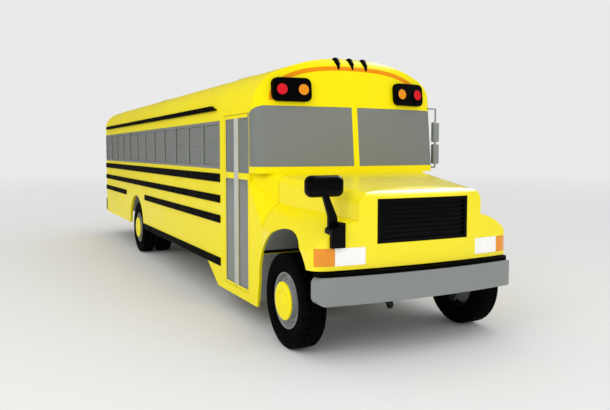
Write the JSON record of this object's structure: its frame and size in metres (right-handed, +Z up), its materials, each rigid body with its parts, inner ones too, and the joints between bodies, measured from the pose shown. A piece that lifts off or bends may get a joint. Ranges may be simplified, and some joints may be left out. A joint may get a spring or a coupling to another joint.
{
  "type": "school bus",
  "caption": "Long yellow school bus with a separate tilting hood, two-leaf service door, rear emergency door, roof hatches, swing-out stop arm and dual rear wheels.",
  "frame": {"origin": "on the ground under the middle of the bus, midway between the faces of the two bumpers, on the centre plane", "axes": "+X forward, +Y to the bus's left, +Z up"},
  "size_m": [11.336, 2.5569, 3.1179],
  "materials": {
    "yellow_paint": "gloss",
    "white_paint": "satin",
    "black_paint": "satin",
    "bumper_grey": "satin",
    "glass": "gloss",
    "floor_covering": "ribbed",
    "seat_vinyl": "grained",
    "black_plastic": "matt",
    "liner_grey": "matt",
    "frame_black": "satin",
    "cast_iron": "rough",
    "aluminium": "brushed",
    "steel_pipe": "dull",
    "tyre_rubber": "matt",
    "wheel_steel": "satin",
    "red_lens": "gloss",
    "amber_lens": "gloss",
    "clear_lens": "gloss",
    "red_paint": "reflective",
    "blank_plate": "satin"
  },
  "bodies": {
    "bus": {"left_side": "yellow_paint", "right_side": "yellow_paint", "roof": "yellow_paint", "rear_wall": "yellow_paint", "front_section": "yellow_paint", "cowl": "yellow_paint", "floor": "floor_covering", "step_well": "black_paint", "rear_wheelhouses": "liner_grey", "body_rails": "black_paint", "lamp_housings": "black_plastic", "red_lamps": "red_lens", "amber_lamps": "amber_lens", "window_panes": "glass", "windshield": "glass", "mirrors": "bumper_grey", "plate_bracket": "blank_plate", "passenger_seats": "seat_vinyl", "driver_seat": "black_plastic", "dashboard": "black_plastic", "chassis_frame": "frame_black", "engine": "cast_iron", "fuel_tank": "frame_black", "exhaust": "steel_pipe", "front_axle": "frame_black", "rear_axle": "frame_black", "leaf_springs": "frame_black", "front_bumper": "bumper_grey", "bumper_filler": "black_plastic", "rear_bumper": "black_paint"},
    "hood": {"hood": "yellow_paint", "grille": "black_plastic", "headlamps": "clear_lens", "corner_lamps": "amber_lens", "hood_liners": "liner_grey", "crossview_mirror": "black_plastic"},
    "knuckle_left": {"front_knuckle_left": "cast_iron"},
    "knuckle_right": {"front_knuckle_right": "cast_iron"},
    "front_wheel_left": {"front_tyre_left": "tyre_rubber", "front_wheel_left": "wheel_steel"},
    "front_wheel_right": {"front_tyre_right": "tyre_rubber", "front_wheel_right": "wheel_steel"},
    "rear_wheel_left": {"rear_tyres_left": "tyre_rubber", "rear_wheels_left": "wheel_steel"},
    "rear_wheel_right": {"rear_tyres_right": "tyre_rubber", "rear_wheels_right": "wheel_steel"},
    "door_rear_leaf": {"door_rear_leaf": "aluminium"},
    "door_front_leaf": {"door_front_leaf": "aluminium"},
    "emergency_door": {"emergency_door": "yellow_paint"},
    "stop_arm": {"stop_arm": "red_paint"},
    "front_hatch": {"front_hatch": "white_paint"},
    "rear_hatch": {"rear_hatch": "white_paint"},
    "steering_wheel": {"steering_wheel": "black_plastic"}
  },
  "joints": [
    {"name": "hood_tilt", "type": "hinge", "parent": "bus", "child": "hood", "pos_m": [5.59, 0, 0.872], "axis": [0, 1, 0], "range_deg": [0, 60]},
    {"name": "steer_left", "type": "hinge", "parent": "bus", "child": "knuckle_left", "pos_m": [4.875, 0.9, 0.485], "axis": [0, 0, 1], "range_deg": [-35, 35]},
    {"name": "front_wheel_left_spin", "type": "hinge", "parent": "knuckle_left", "child": "front_wheel_left", "pos_m": [4.875, 1.085, 0.485], "axis": [0, 1, 0], "continuous": true},
    {"name": "rear_wheel_left_spin", "type": "hinge", "parent": "bus", "child": "rear_wheel_left", "pos_m": [-2.105, 0.88, 0.485], "axis": [0, 1, 0], "continuous": true},
    {"name": "steer_right", "type": "hinge", "parent": "bus", "child": "knuckle_right", "pos_m": [4.875, -0.9, 0.485], "axis": [0, 0, 1], "range_deg": [-35, 35]},
    {"name": "front_wheel_right_spin", "type": "hinge", "parent": "knuckle_right", "child": "front_wheel_right", "pos_m": [4.875, -1.085, 0.485], "axis": [0, 1, 0], "continuous": true},
    {"name": "rear_wheel_right_spin", "type": "hinge", "parent": "bus", "child": "rear_wheel_right", "pos_m": [-2.105, -0.88, 0.485], "axis": [0, 1, 0], "continuous": true},
    {"name": "service_door_rear_leaf", "type": "hinge", "parent": "bus", "child": "door_rear_leaf", "pos_m": [3.123, -1.212, 1.4], "axis": [0, 0, -1], "range_deg": [0, 90]},
    {"name": "service_door_front_leaf", "type": "hinge", "parent": "bus", "child": "door_front_leaf", "pos_m": [3.927, -1.212, 1.4], "axis": [0, 0, 1], "range_deg": [0, 90]},
    {"name": "emergency_door_swing", "type": "hinge", "parent": "bus", "child": "emergency_door", "pos_m": [-5.606, -0.447, 1.75], "axis": [0, 0, 1], "range_deg": [0, 110]},
    {"name": "stop_arm_swing", "type": "hinge", "parent": "bus", "child": "stop_arm", "pos_m": [3.27, 1.246, 1.29], "axis": [0, 0, -1], "range_deg": [0, 90]},
    {"name": "front_hatch_lift", "type": "hinge", "parent": "bus", "child": "front_hatch", "pos_m": [1.951, 0, 3.091], "axis": [0, 1, 0], "range_deg": [0, 60]},
    {"name": "rear_hatch_lift", "type": "hinge", "parent": "bus", "child": "rear_hatch", "pos_m": [-2.874, 0, 3.091], "axis": [0, 1, 0], "range_deg": [0, 60]},
    {"name": "steering_wheel_turn", "type": "hinge", "parent": "bus", "child": "steering_wheel", "pos_m": [3.6, 0.6, 1.85], "axis": [-0.5, 0, 0.866], "range_deg": [-565, 565]}
  ],
  "couplings": [
    {"joint": "steer_right", "follows": "steer_left", "ratio": 1},
    {"joint": "steering_wheel_turn", "follows": "steer_left", "ratio": 16},
    {"joint": "service_door_front_leaf", "follows": "service_door_rear_leaf", "ratio": 1}
  ]
}
